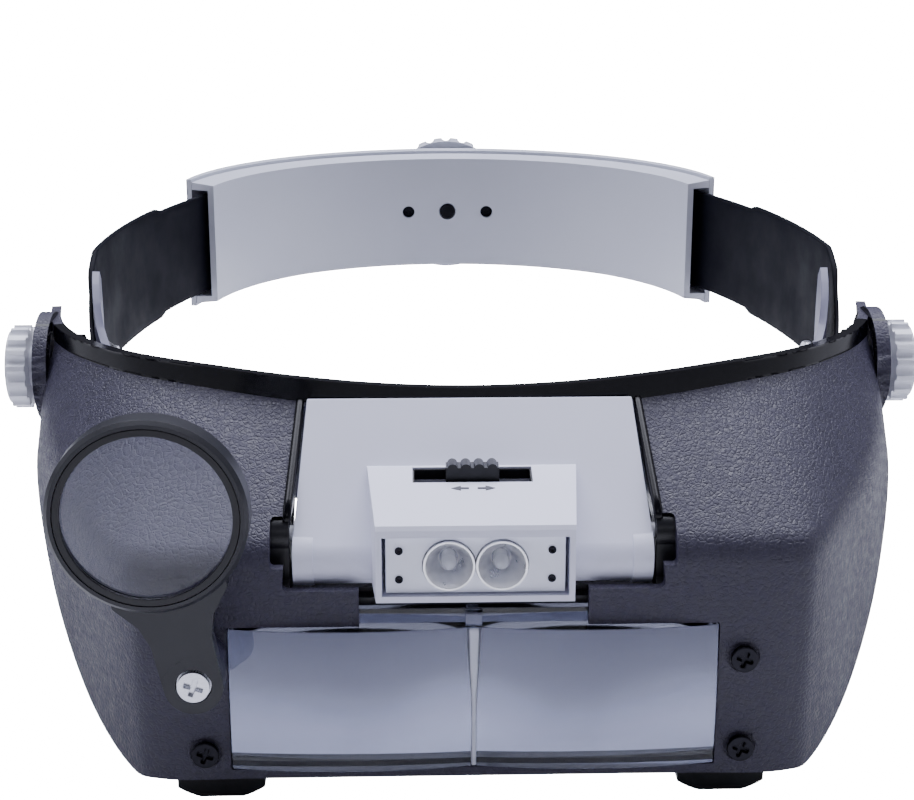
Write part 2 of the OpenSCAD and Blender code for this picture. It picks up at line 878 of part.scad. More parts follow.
module lamp_pins() {
    color([0.86, 0.87, 0.9])
        in_lamp()
            for (m = [0, 1])
                mirror([m, 0, 0])
                    x_rod(0, 0, lamp_half_low - 3.9, 40.4, 1.45);
}

module slider_board() {
    color([0.1, 0.35, 0.2])
        in_lamp()
            translate([-13, 11.6, -0.9])
                cube([26, 10, 1.2]);
}

// Thumb piece in the slot; a pin below it swings the lamp carrier
grip_front = -103;
grip_deep = 3.8;
module pan_slider() {
    color([0.1, 0.1, 0.12])
        union() {
            in_lamp()
                translate([-15.2, 3.6, -0.9])
                    cube([30.4, 7, 1.4]);
            translate([-5, grip_front, -21])
                cube([10, grip_deep, 8.2]);
            for (i = [-1.5:1.5])
                x_rod_z(i * 2.5);
            translate([0, slot_y, -25])
                cylinder(h = 5, r = 0.7);
        }
}
module x_rod_z(x) {
    translate([x, grip_front, -13])
        rotate([-90, 0, 0])
            cylinder(h = grip_deep, r = 0.95, $fn = 32);
}

// ---------------------------------------------------------------- light head
led_z = -26.2;
led_x = 4.8;
plate_screw_x = 13.9;
plate_y = -118.3;
swing_y = -115;
module led_carrier() {
    color([0.9, 0.91, 0.94])
        difference() {
            union() {
                translate([-16.3, plate_y, -31.5])
                    cube([32.6, 2.6, 10.7]);
                translate([-11, plate_y + 2, -30])
                    cube([22, 4.6, 8]);
                // Pivot stubs above and below
                translate([-2.5, swing_y - 1.5, -31.4])
                    cube([5, 3, 10.5]);
                translate([0, swing_y, -32.7])
                    cylinder(h = 13.2, r = 1.4);
                // Arm to the slider, with a slot for the slider's pin
                difference() {
                    translate([-2.2, -112.5, -25.2])
                        cube([4.4, 13.6, 1.3]);
                    translate([-0.75, -102.4, -26])
                        cube([1.5, 2.9, 3]);
                }
            }
            for (s = [-1, 1])
                y_rod(s * led_x, led_z, plate_y - 1, plate_y + 5.2, 4.9);
            for (x = [-plate_screw_x, plate_screw_x])
                for (z = [-28.9, -23.4])
                    y_rod(x, z, plate_y - 1, plate_y + 2, 0.75);
        }
}

// Two bright cups that meet in the middle, standing a little out of the plate
module led_reflector() {
    color([0.95, 0.96, 0.98])
        difference() {
            union() {
                for (s = [-1, 1])
                    y_rod(s * led_x, led_z, plate_y - 0.7, plate_y + 5, 4.75);
            }
            for (s = [-1, 1])
                translate([s * led_x, plate_y - 0.8, led_z])
                    rotate([-90, 0, 0])
                        union() {
                            cylinder(h = 4.8, r1 = 4.4, r2 = 1.9);
                            cylinder(h = 7, r = 1.75);
                        }
        }
}

module leds() {
    color([0.98, 0.98, 0.9])
        for (s = [-1, 1])
            union() {
                y_rod(s * led_x, led_z, plate_y + 1.7, plate_y + 4.9, 1.5);
                translate([s * led_x, plate_y + 1.7, led_z])
                    sphere(r = 1.5);
            }
}

module carrier_screws() {
    color([0.55, 0.55, 0.57])
        for (x = [-plate_screw_x, plate_screw_x])
            for (z = [-28.9, -23.4])
                difference() {
                    y_rod(x, z, plate_y - 0.25, plate_y + 1.9, 0.72);
                    cross_cut(x, z, plate_y - 0.35, 0.4, 0.9);
                }
}

// ---------------------------------------------------------------- loupe
loupe_cx = loupe_x - loupe_reach * sin(loupe_lean);
loupe_cz = loupe_z + loupe_reach * cos(loupe_lean);
arm_back = -122;
loupe_bore = 15.6;
module loupe_frame() {
    color([0.06, 0.06, 0.08])
        difference() {
            union() {
                y_rod(loupe_cx, loupe_cz, loupe_front, loupe_back, loupe_r);
                y_rod(loupe_x, loupe_z, -124.9, -119.2, 5.4);
                // Arm, widening into the ring
                translate([loupe_x, arm_back, loupe_z])
                    rotate([90, 0, 0])
                        rotate([0, 0, loupe_lean])
                            linear_extrude(2.9)
                                polygon([[-5.4, 0], [5.4, 0], [5.6, 9], [6.9, 13], [10.5, 17.5],
                                    [10.5, 22], [-10.5, 22], [-10.5, 17.5], [-6.9, 13], [-5.6, 9]]);
            }
            y_rod(loupe_cx, loupe_cz, -130, loupe_back + 1, loupe_bore);
            y_rod(loupe_cx, loupe_cz, loupe_front - 1, loupe_back - 1.4, loupe_bore + 0.8);
            // Rounded lip: a shallow groove round the front face
            rotate_groove();
            y_rod(loupe_x, loupe_z, -130, -110, 1.55);
            y_rod(loupe_x, loupe_z, -126, -123.4, 3.3);
        }
}
module rotate_groove() {
    translate([loupe_cx, loupe_front, loupe_cz])
        rotate([90, 0, 0])
            rotate_extrude()
                translate([loupe_r, 0])
                    polygon([[-0.9, 0.2], [0.3, 0.2], [0.3, -1.1]]);
}

// Half profile of a biconvex lens: rim radius r, rim thickness t, face radius R
function face_sag(r, R) = R - sqrt(R * R - r * r);
module biconvex(r, t, R) {
    n = 8;
    front = [for (i = [0:n]) [r * i / n, t / 2 + face_sag(r, R) - face_sag(r * i / n, R)]];
    back = [for (i = [n:-1:0]) [r * i / n, -t / 2 - face_sag(r, R) + face_sag(r * i / n, R)]];
    rotate_extrude($fn = 96)
        polygon(concat(front, back));
}

module loupe_lens() {
    color([0.8, 0.85, 0.92, 0.4])
        translate([loupe_cx, -124.8, loupe_cz])
            rotate([90, 0, 0])
                biconvex(loupe_bore + 0.7, 2.2, 130);
}

module loupe_retainer() {
    color([0.08, 0.08, 0.1])
        difference() {
            y_rod(loupe_cx, loupe_cz, -126.9, -126.1, loupe_bore + 0.7);
            y_rod(loupe_cx, loupe_cz, -130, -120, loupe_bore - 0.6);
        }
}

module loupe_screw() {
    color([0.8, 0.8, 0.82])
        difference() {
            union() {
                y_rod(loupe_x, loupe_z, -125.4, -124.2, 2.95);
                y_rod(loupe_x, loupe_z, -124.3, -119.1, 1.5);
                y_rod(loupe_x, loupe_z, -119.2, -105, 1.28);
            }
            cross_cut(loupe_x, loupe_z, -125.5, 1, 3.6);
        }
}

module loupe_washer() {
    color([0.7, 0.7, 0.72])
        difference() {
            y_rod(loupe_x, loupe_z, -124.1, -123.5, 3.2);
            y_rod(loupe_x, loupe_z, -125, -123, 1.6);
        }
}

// ---------------------------------------------------------------- drawing
forehead_band();
forehead_pad();
strap_left();
strap_right();
temple_bolts();
temple_spacers();
knob_left();
knob_right();
rear_cover_inner();
rear_cover_outer();
cover_screws();
rear_knob();
pinion();
knob_axle();
visor_shell();
lens_retainer();
main_lens();
shell_screws();
lamp_brackets();
inner_lens_frame();
inner_lens();
hinge_pins();
lamp_housing();
lamp_cover();
battery_door();
battery_cells();
battery_contacts();
lamp_pins();
slider_board();
pan_slider();
led_carrier();
led_reflector();
leds();
carrier_screws();
loupe_frame();
loupe_lens();
loupe_retainer();
loupe_screw();
loupe_washer();
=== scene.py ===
import math
import bmesh
import bpy
from mathutils import Matrix, Vector


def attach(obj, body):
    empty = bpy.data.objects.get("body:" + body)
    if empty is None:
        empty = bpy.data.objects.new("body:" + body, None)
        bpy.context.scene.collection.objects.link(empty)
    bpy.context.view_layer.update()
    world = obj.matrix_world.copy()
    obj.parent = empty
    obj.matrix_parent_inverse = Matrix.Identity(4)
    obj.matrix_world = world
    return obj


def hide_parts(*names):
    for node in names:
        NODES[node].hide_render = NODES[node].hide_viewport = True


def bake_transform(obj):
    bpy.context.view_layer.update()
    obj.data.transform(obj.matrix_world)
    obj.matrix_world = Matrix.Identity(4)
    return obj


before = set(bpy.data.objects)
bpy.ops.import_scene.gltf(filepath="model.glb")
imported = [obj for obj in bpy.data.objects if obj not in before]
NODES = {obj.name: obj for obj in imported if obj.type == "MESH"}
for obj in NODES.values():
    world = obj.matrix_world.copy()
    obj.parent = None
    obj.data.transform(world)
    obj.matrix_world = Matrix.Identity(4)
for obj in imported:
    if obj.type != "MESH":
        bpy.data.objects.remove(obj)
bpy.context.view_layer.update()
MM = 0.001


# ------------------------------------------------------------------ materials
def new_material(name):
    m = bpy.data.materials.new(name)
    m.use_nodes = True
    nt = m.node_tree
    bsdf = nt.nodes["Principled BSDF"]
    return m, nt, bsdf


def put(bsdf, **values):
    for k, v in values.items():
        bsdf.inputs[k.replace("_", " ")].default_value = v


def coords(nt, scale=(1, 1, 1), rotation=(0, 0, 0)):
    tc = nt.nodes.new("ShaderNodeTexCoord")
    mp = nt.nodes.new("ShaderNodeMapping")
    mp.inputs["Scale"].default_value = scale
    mp.inputs["Rotation"].default_value = rotation
    nt.links.new(tc.outputs["Object"], mp.inputs["Vector"])
    return mp.outputs["Vector"]


def noise_tex(nt, vec, scale, detail=4.0, rough=0.5, distortion=0.0):
    n = nt.nodes.new("ShaderNodeTexNoise")
    n.inputs["Scale"].default_value = scale
    n.inputs["Detail"].default_value = detail
    n.inputs["Roughness"].default_value = rough
    n.inputs["Distortion"].default_value = distortion
    nt.links.new(vec, n.inputs["Vector"])
    return n.outputs["Fac"]


def voronoi_tex(nt, vec, scale, feature="F1", rand=1.0):
    v = nt.nodes.new("ShaderNodeTexVoronoi")
    v.feature = feature
    v.inputs["Scale"].default_value = scale
    v.inputs["Randomness"].default_value = rand
    nt.links.new(vec, v.inputs["Vector"])
    return v.outputs["Distance"]


def ramp(nt, fac, stops):
    r = nt.nodes.new("ShaderNodeValToRGB")
    el = r.color_ramp.elements
    while len(el) < len(stops):
        el.new(0.5)
    for e, (p, c) in zip(el, stops):
        e.position = p
        e.color = (*c, 1) if len(c) == 3 else c
    nt.links.new(fac, r.inputs["Fac"])
    return r.outputs["Color"]


def span(nt, fac, lo, hi, a=0.0, b=1.0):
    r = nt.nodes.new("ShaderNodeMapRange")
    r.inputs["From Min"].default_value = a
    r.inputs["From Max"].default_value = b
    r.inputs["To Min"].default_value = lo
    r.inputs["To Max"].default_value = hi
    nt.links.new(fac, r.inputs["Value"])
    return r.outputs["Result"]


def math_node(nt, op, a, b):
    m = nt.nodes.new("ShaderNodeMath")
    m.operation = op
    for i, x in enumerate((a, b)):
        if isinstance(x, (int, float)):
            m.inputs[i].default_value = x
        else:
            nt.links.new(x, m.inputs[i])
    return m.outputs["Value"]


def bump(nt, bsdf, height, strength, distance):
    b = nt.nodes.new("ShaderNodeBump")
    b.inputs["Strength"].default_value = strength
    b.inputs["Distance"].default_value = distance
    nt.links.new(height, b.inputs["Height"])
    nt.links.new(b.outputs["Normal"], bsdf.inputs["Normal"])
    return b


def tone(c, k):
    return tuple(min(1.0, x * k) for x in c)


def plastic(name, colour, rough=0.4, grain=0.15, grain_scale=900, spread=0.08, **extra):
    """Moulded plastic: slow tone drift, patchy sheen and a fine skin."""
    m, nt, bsdf = new_material(name)
    vec = coords(nt)
    slow = noise_tex(nt, vec, 22, 3)
    stops = [(0.25, tone(colour, 1 - spread)), (0.75, tone(colour, 1 + spread))]
    nt.links.new(ramp(nt, slow, stops), bsdf.inputs["Base Color"])
    fine = noise_tex(nt, vec, grain_scale, 3, 0.6)
    wide = noise_tex(nt, vec, 60, 4, 0.6)
    nt.links.new(span(nt, wide, rough * 0.85, rough * 1.2, 0.3, 0.7), bsdf.inputs["Roughness"])
    bump(nt, bsdf, fine, grain, 0.00012)
    put(bsdf, **extra)
    return m


def leather_grain(name, colour):
    """Charcoal shell plastic with a pebbled leather texture; the grain's high points are painted lighter as
    glints and its low points painted darker as shade.
    """
    m, nt, bsdf = new_material(name)
    vec = coords(nt)
    cells = voronoi_tex(nt, vec, 1500, "F1", 1.0)
    cracks = voronoi_tex(nt, vec, 1050, "DISTANCE_TO_EDGE", 1.0)
    fine = noise_tex(nt, vec, 4200, 3, 0.65)
    relief_and_glint = noise_tex(nt, vec, 620, 4, 0.6)
    peb = math_node(nt, "ADD", math_node(nt, "MULTIPLY", cells, -0.55), math_node(nt, "MULTIPLY", fine, 0.35))
    lines = span(nt, cracks, 0.0, 0.45, 0.0, 0.16)
    height = math_node(nt, "ADD", peb, math_node(nt, "ADD", lines, math_node(nt, "MULTIPLY", relief_and_glint, 0.5)))
    slow = noise_tex(nt, vec, 14, 3)
    base = ramp(nt, slow, [(0.3, tone(colour, 0.86)), (0.7, tone(colour, 1.12))])
    mix = nt.nodes.new("ShaderNodeMixRGB")
    mix.blend_type = "MULTIPLY"
    mix.inputs["Fac"].default_value = 0.6
    nt.links.new(base, mix.inputs[1])
    # Painted highlight and shade: the colour is lightened where the relief noise is high and darkened where
    # it is low
    nt.links.new(ramp(nt, relief_and_glint, [(0.35, (0.72, 0.72, 0.72)), (0.65, (1.12, 1.12, 1.15))]), mix.inputs[2])
    nt.links.new(mix.outputs[0], bsdf.inputs["Base Color"])
    nt.links.new(span(nt, relief_and_glint, 0.36, 0.6, 0.3, 0.7), bsdf.inputs["Roughness"])
    bump(nt, bsdf, height, 0.6, 0.00026)
    put(bsdf, Specular_IOR_Level=0.42)
    return m


# Heights of the lens window's lower and upper edge, and the middle of one lens panel, in metres
LENS_LOW, LENS_TOP, PANEL_MIDDLE = -0.0705, -0.041, 0.023


def clear(name, tint, ior, rough, haze, top_shade=None):
    """Acrylic: polished, with faint waves in the moulding and a little haze; its colour is darkened toward
    the top edge with painted shade, and crossed by a painted dark line.
    """
    m, nt, bsdf = new_material(name)
    vec = coords(nt)
    put(bsdf, IOR=ior, Transmission_Weight=1.0, Specular_IOR_Level=0.6)
    axes = nt.nodes.new("ShaderNodeSeparateXYZ")
    nt.links.new(vec, axes.inputs[0])
    height = span(nt, axes.outputs["Z"], 0.0, 1.0, LENS_LOW, LENS_TOP)
    drift = math_node(nt, "MULTIPLY", math_node(nt, "ADD", noise_tex(nt, vec, 45, 2), -0.5), 0.3)
    # Painted reflection: a faint darker arched line crosses each lens, standing in for the inner frame's edge
    # seen in it
    across = math_node(nt, "ABSOLUTE", axes.outputs["X"], 0.0)
    from_middle = math_node(nt, "ABSOLUTE", math_node(nt, "ADD", across, -PANEL_MIDDLE), 0.0)
    sag = math_node(nt, "MULTIPLY", from_middle, -6.0)
    level = math_node(nt, "ADD", math_node(nt, "ADD", height, drift), sag)
    band = [(0.1, tint), (0.9, tint)]
    # Painted shade: toward the top edge the colour darkens to the last colour given, with a darker step at
    # 0.47 for the painted line
    if top_shade:
        mid = [(a + b) / 2 for a, b in zip(tint, top_shade)]
        band = [(0.05, tint), (0.42, mid), (0.47, tone(mid, 0.82)), (0.95, top_shade)]
    nt.links.new(ramp(nt, level, band), bsdf.inputs["Base Color"])
    wave = noise_tex(nt, vec, 30, 2)
    nt.links.new(span(nt, wave, rough, rough + haze, 0.35, 0.75), bsdf.inputs["Roughness"])
    bump(nt, bsdf, noise_tex(nt, vec, 38, 1), 0.05, 0.0004)
    return m


def metal(name, colour, rough=0.28, streak=(1, 1, 60)):
    m, nt, bsdf = new_material(name)
    vec = coords(nt, streak)
    n = noise_tex(nt, vec, 300, 4, 0.6)
    nt.links.new(span(nt, n, rough * 0.7, rough * 1.5, 0.3, 0.7), bsdf.inputs["Roughness"])
    stops = [(0.2, tone(colour, 0.86)), (0.8, tone(colour, 1.08))]
    nt.links.new(ramp(nt, n, stops), bsdf.inputs["Base Color"])
    bump(nt, bsdf, n, 0.06, 0.00006)
    put(bsdf, Metallic=1.0)
    return m


def foam_cloth(name, colour):
    """Brushed knit over foam."""
    m, nt, bsdf = new_material(name)
    vec = coords(nt)
    cell = voronoi_tex(nt, vec, 1500, "F1", 0.5)
    n = noise_tex(nt, vec, 420, 5, 0.7)
    stops = [(0.3, tone(colour, 0.65)), (0.72, tone(colour, 1.5))]
    nt.links.new(ramp(nt, n, stops), bsdf.inputs["Base Color"])
    put(bsdf, Roughness=0.92, Sheen_Weight=0.5, Sheen_Roughness=0.5)
    bump(nt, bsdf, math_node(nt, "ADD", cell, math_node(nt, "MULTIPLY", n, 0.8)), 0.7, 0.0005)
    return m


M = {
    "shell": leather_grain("shell_grain", (0.031, 0.0285, 0.053)),
    # Painted shade: the brow rim and the lamp rails are the shell's plastic, made near-black as if in shade
    # because they face the front
    "rim": plastic("rim_gloss", (0.002, 0.002, 0.004), 0.2, 0.05, 700, Specular_IOR_Level=0.22),
    "black": plastic("black_plastic", (0.006, 0.006, 0.009), 0.34, 0.25, 1300, Specular_IOR_Level=0.36),
    "loupe": plastic("loupe_black", (0.008, 0.0085, 0.014), 0.38, 0.12, 1500, Specular_IOR_Level=0.42),
    "strap": plastic("strap_plastic", (0.003, 0.0032, 0.007), 0.58, 0.05, 900, Specular_IOR_Level=0.07),
    # Painted light: the forehead band is the shell's dark-grey plastic, given a lighter colour as if lit on
    # its upward face
    "band": plastic("band_painted_light_grey", (0.15, 0.15, 0.22), 0.36, 0.12, 1000),
    "grey": plastic("lamp_grey", (0.72, 0.73, 0.86), 0.42, 0.1, 1700, 0.02, Specular_IOR_Level=0.4),
    "cover": plastic("cover_grey", (0.53, 0.545, 0.62), 0.36, 0.08, 1400, 0.025),
    "knob": plastic("knob_white", (0.88, 0.89, 0.97), 0.16, 0.05, 900, 0.03,
                    Transmission_Weight=0.12, IOR=1.47),
    "white": plastic("plate_white", (0.84, 0.86, 0.97), 0.3, 0.05, 1200, 0.02),
    # The last colour of each lens is painted shade at its top edge
    "lens": clear("lens_acrylic", (0.48, 0.5, 0.6), 1.49, 0.0, 0.06, (0.145, 0.152, 0.2)),
    "lens_in": clear("inner_acrylic", (0.58, 0.6, 0.68), 1.45, 0.02, 0.08, (0.31, 0.32, 0.39)),
    "loupe_glass": clear("loupe_glass", (0.64, 0.65, 0.74), 1.5, 0.0, 0.02),
    "resin": plastic("led_resin", (0.85, 0.87, 0.95), 0.12, 0.03, 900, 0.02,
                     Transmission_Weight=0.5, IOR=1.45),
    "chrome": metal("cup_chrome", (0.97, 0.97, 1.0), 0.34, (1, 1, 1)),
    "steel": metal("zinc_steel", (0.66, 0.67, 0.72), 0.26),
    "dark": metal("black_steel", (0.02, 0.02, 0.025), 0.36),
    "board": plastic("board_green", (0.03, 0.16, 0.07), 0.3, 0.1, 900),
    "cell": plastic("cell_sleeve", (0.05, 0.2, 0.12), 0.25, 0.05, 600, 0.1),
    "foam": foam_cloth("pad_cloth", (0.012, 0.012, 0.016)),
    "mark": plastic("mark_ink", (0.04, 0.04, 0.06), 0.5, 0.1, 900),
    # Painted highlight: a whitish, half-clear strip laid along the lens seam
    "haze": plastic("seam_highlight_strip", (0.8, 0.82, 0.92), 0.45, 0.05, 900, 0.02, Transmission_Weight=0.3, IOR=1.1),
}


# ------------------------------------------------------------------ meshes
def mesh_object(name, verts, faces, mat):
    me = bpy.data.meshes.new(name)
    me.from_pydata([tuple(v) for v in verts], [], faces)
    me.validate()
    me.update()
    for p in me.polygons:
        p.use_smooth = True
    ob = bpy.data.objects.new(name, me)
    bpy.context.scene.collection.objects.link(ob)
    me.materials.append(mat)
    return ob


def bm_object(name, bm, mats, body=None, smooth=True):
    me = bpy.data.meshes.new(name)
    bmesh.ops.recalc_face_normals(bm, faces=bm.faces)
    bm.to_mesh(me)
    bm.free()
    for p in me.polygons:
        p.use_smooth = smooth
    ob = bpy.data.objects.new(name, me)
    bpy.context.scene.collection.objects.link(ob)
    for m in (mats if isinstance(mats, (list, tuple)) else [mats]):
        me.materials.append(m)
    if body:
        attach(ob, body)
    return ob


def bake(ob):
    """Replaces the mesh by what its modifiers make of it."""
    dg = bpy.context.evaluated_depsgraph_get()
    me = bpy.data.meshes.new_from_object(ob.evaluated_get(dg))
    ob.modifiers.clear()
    ob.data = me
    return ob


def cut(ob, cutters, op="DIFFERENCE"):
    for c in cutters:
        md = ob.modifiers.new("cut", "BOOLEAN")
        md.operation = op
        md.object = c
        md.solver = "EXACT"
    bake(ob)
    for c in cutters:
        bpy.data.objects.remove(c, do_unlink=True)
    return ob


def soften(ob, width):
    """Rounds the hard edges of a CAD piece and shades it smoothly, through modifiers alone."""
    w = ob.modifiers.new("weld", "WELD")
    w.merge_threshold = 2e-6
    d = ob.modifiers.new("flat", "DECIMATE")
    d.decimate_type = "DISSOLVE"
    d.angle_limit = math.radians(0.25)
    b = ob.modifiers.new("round", "BEVEL")
    b.width = width * MM
    b.segments = 2
    b.limit_method = "ANGLE"
    b.angle_limit = math.radians(32)
    b.use_clamp_overlap = True
    b.harden_normals = False
    b.miter_outer = "MITER_ARC"
    for p in ob.data.polygons:
        p.use_smooth = True
    n = ob.modifiers.new("shade", "WEIGHTED_NORMAL")
    n.keep_sharp = False
    n.weight = 60
    return ob


def dress(node, material, width):
    """Gives a CAD node its material, and rounds its edges where width is not 0."""
    ob = NODES[node]
    ob.data.materials.clear()
    ob.data.materials.append(M[material])
    if width:
        soften(ob, width)


# ------------------------------------------------------------------ the strap line
HALF, REAR_R, REAR_Y, TURN, POW = 83.3, 70.0, 40.5, 24.0, 0.62
CT, ST = math.cos(math.radians(TURN)), math.sin(math.radians(TURN))
SIDE_R = (HALF - REAR_R * CT) / (1 - CT)
SIDE_X, SIDE_Y = HALF - SIDE_R, REAR_Y + (REAR_R - SIDE_R) * ST
FRONT_B = SIDE_Y + 75.5


def line_at(a, d):
    """Plan point of the strap line in mm: a is 90 at the rear, 0 beside the temple, -90 at the brow."""
    if a < -90:
        x, y = line_at(-180 - a, d)
        return -x, y
    if a > 90:
        x, y = line_at(180 - a, d)
        return -x, y
    c, s = math.cos(math.radians(a)), math.sin(math.radians(a))
    if a >= TURN:
        return (REAR_R + d) * c, REAR_Y + (REAR_R + d) * s
    if a >= 0:
        return SIDE_X + (SIDE_R + d) * c, SIDE_Y + (SIDE_R + d) * s
    c, s = max(c, 0.0), -s
    nx, ny = c ** (2 - POW) / HALF, -(s ** (2 - POW)) / FRONT_B
    k = math.hypot(nx, ny)
    return HALF * c ** POW + d * nx / k, SIDE_Y - FRONT_B * s ** POW + d * ny / k


def arc_steps(a0, a1, pitch):
    """Angles from a0 to a1 spaced about pitch mm apart along the line."""
    fine = [a0 + (a1 - a0) * i / 4000 for i in range(4001)]
    out, last = [a0], line_at(a0, 0)
    for a in fine:
        p = line_at(a, 0)
        if math.dist(p, last) >= pitch:
            out.append(a)
            last = p
    if abs(out[-1] - a1) > 1e-6:
        out.append(a1)
    return out


def lerp(a, b, t):
    return a + (b - a) * t


def ease(t):
    t = max(0.0, min(1.0, t))
    return t * t * (3 - 2 * t)


def table(points, x):
    """Piecewise line through (x, value) points, x falling or rising."""
    pts = sorted(points)
    if x <= pts[0][0]:
        return pts[0][1]
    for (x0, v0), (x1, v1) in zip(pts, pts[1:]):
        if x <= x1:
            return lerp(v0, v1, (x - x0) / (x1 - x0))
    return pts[-1][1]


# ------------------------------------------------------------------ the visor shell
FACE_Y, TOP_Z, LOW_Z, WALL = -112.0, -25.5, -72.0, 2.2
TILT_Y, TILT_Z, EAR_IN, EAR_OUT = -42.0, -8.5, 89.2, 92.2
BROW = [(0, -85, -2.2), (18, -84.8, -1.6), (36, -83.4, -0.2), (52, -79, 0.9), (66, -72, 1.2),
        (76, -63.5, 1.2), (84, -54, 1.4), (89.2, -44, 2), (EAR_OUT - 0.3, -31, 2.5)]
CREASE = [(0, FACE_Y, TOP_Z), (20, FACE_Y, TOP_Z), (42, FACE_Y, TOP_Z), (59.5, -111.8, TOP_Z),
          (66.5, -107.6, TOP_Z), (76, -92, -23), (84.5, -75, -19.5), (90, -56, -13.5), (EAR_OUT, -31, -6)]
RIM = [(0, FACE_Y, LOW_Z), (20, FACE_Y, LOW_Z), (42, FACE_Y, LOW_Z), (59.5, -111.7, LOW_Z),
       (66.8, -107.2, LOW_Z + 1.2), (76.5, -95, -61), (85, -80, -43.5), (91, -60, -24), (EAR_OUT, -31, -18)]
LAST = len(BROW) - 1


def spline(path, s):
    def at(i):
        if i < 0:
            return Vector((-path[-i][0], path[-i][1], path[-i][2]))
        if i > LAST:
            return 2 * Vector(path[LAST]) - Vector(path[LAST - 1])
        return Vector(path[i])
    i = min(int(s), LAST - 1)
    t = s - i
    a, b, c, d = at(i - 1), at(i), at(i + 1), at(i + 2)
    square = (2 * a - 5 * b + 4 * c - d) * t ** 2
    cube = (3 * b - a - 3 * c + d) * t ** 3
    return 0.5 * (2 * b + (c - a) * t + square + cube)


def shifted(path, s, w, drop):
    e = 0.05
    q = spline(path, min(s + e, LAST)) - spline(path, max(s - e, 0))
    n = Vector((q.y, -q.x))
    n.normalize()
    p = spline(path, s)
    return Vector((p.x - n.x * w, p.y - n.y * w, p.z - drop))


def skin_column(s, w):
    """One column of the skin, from the brow rim down, w inside the outer face."""
    a = shifted(BROW, s, w, 0)
    b = shifted(BROW, s, w - 0.4, 5 * (1 - 0.45 * s / LAST) + 0.2 * w)
    c = shifted(CREASE, s, w, 0.75 * w)
    d = shifted(RIM, s, w, 0)
    bend = lerp(4.0, 7.0, min(1, max(0, s - 4) / 2))
    f = min(0.45, bend / (c - b).length)
    g = min(0.45, bend / (d - c).length)
    p, q = c.lerp(b, f), c.lerp(d, g)
    rows = [a.lerp(b, t) for t in (0, 0.12, 0.35, 0.65, 0.88, 1.0)]
    rows += [b.lerp(p, t) for t in (0.03, 0.08, 0.2, 0.35, 0.5, 0.65, 0.8, 0.92)]
    rows += [p.lerp(c, k / 8).lerp(c.lerp(q, k / 8), k / 8) for k in range(9)]
    rows += [q.lerp(d, t) for t in (0.12, 0.28, 0.45, 0.62, 0.8, 0.93, 1.0)]
    return rows


def build_shell():
    per = 16
    n = LAST * per
    bm = bmesh.new()
    grid = []
    for i in range(-n, n + 1):
        cols = []
        for w in (0.0, WALL):
            rows = skin_column(abs(i) / per, w)
            cols.append([bm.verts.new(((-p.x if i < 0 else p.x) * MM, p.y * MM, p.z * MM)) for p in rows])
        grid.append(cols)
    rows = len(grid[0][0])
    for i in range(len(grid) - 1):
        a, b = grid[i], grid[i + 1]
        for r in range(rows - 1):
            bm.faces.new((a[0][r], b[0][r], b[0][r + 1], a[0][r + 1]))
            bm.faces.new((a[1][r], a[1][r + 1], b[1][r + 1], b[1][r]))
        bm.faces.new((a[0][0], a[1][0], b[1][0], b[0][0]))
        bm.faces.new((a[0][-1], b[0][-1], b[1][-1], a[1][-1]))
    for g, flip in ((grid[0], False), (grid[-1], True)):
        for r in range(rows - 1):
            f = (g[0][r], g[0][r + 1], g[1][r + 1], g[1][r])
            bm.faces.new(f[::-1] if flip else f)
    return bm_object("shell_skin", bm, [M["shell"], M["rim"]])


def prism(points, y0, y1, corner):
    """Front view outline (x, z) in mm run along Y."""
    bm = bmesh.new()
    lo = [bm.verts.new((x * MM, y0 * MM, z * MM)) for x, z in points]
    hi = [bm.verts.new((x * MM, y1 * MM, z * MM)) for x, z in points]
    bm.faces.new(lo)
    bm.faces.new(hi[::-1])
    k = len(points)
    for i in range(k):
        bm.faces.new((lo[i], hi[i], hi[(i + 1) % k], lo[(i + 1) % k]))
    if corner:
        bm.edges.ensure_lookup_table()
        long_edges = [e for e in bm.edges if abs(e.verts[0].co.y - e.verts[1].co.y) > 1e-6]
        bmesh.ops.bevel(bm, geom=long_edges, offset=corner * MM, segments=5, profile=0.5, affect="EDGES")
    return bm_object("tool", bm, M["shell"], smooth=False)


def rod(axis, at, length, r, seg=64):
    """Cylinder from point at (mm) along one axis."""
    bm = bmesh.new()
    bmesh.ops.create_cone(bm, cap_ends=True, segments=seg, radius1=r * MM, radius2=r * MM, depth=length * MM)
    if axis == "x":
        turn, step = Matrix.Rotation(math.pi / 2, 4, "Y"), (length / 2, 0, 0)
    else:
        turn, step = Matrix.Rotation(-math.pi / 2, 4, "X"), (0, length / 2, 0)
    place = Vector([(a + b) * MM for a, b in zip(at, step)])
    bmesh.ops.transform(bm, matrix=Matrix.Translation(place) @ turn, verts=bm.verts)
    return bm_object("tool", bm, M["shell"])


# Front view (x, z) of the lens screws and of the loupe's pivot
SCREWS = [(-51, -66.3), (51, -47.8), (51, -66.3)]
LOUPE = (-51.0, -46.5)


AHEAD_Y = -130
# Front view outline, rear end and corner radius of each opening: lamp, bracket notch, hood notch, lens window
OPENINGS = [
    ([(-33.5, -5.6), (33.5, -5.6), (35.8, -33.7), (-35.8, -33.7)], -78, 1.2),
    ([(-37.9, -29.2), (37.9, -29.2), (37.9, -21.0), (-37.9, -21.0)], -98, 0.8),
    ([(-21.5, -32.7), (21.5, -32.7), (21.5, -41.8), (-21.5, -41.8)], -100, 0.0),
    ([(-46.3, -40.8), (46.3, -40.8), (46.3, -70.1), (-46.3, -70.1)], -100, 0.5),
]


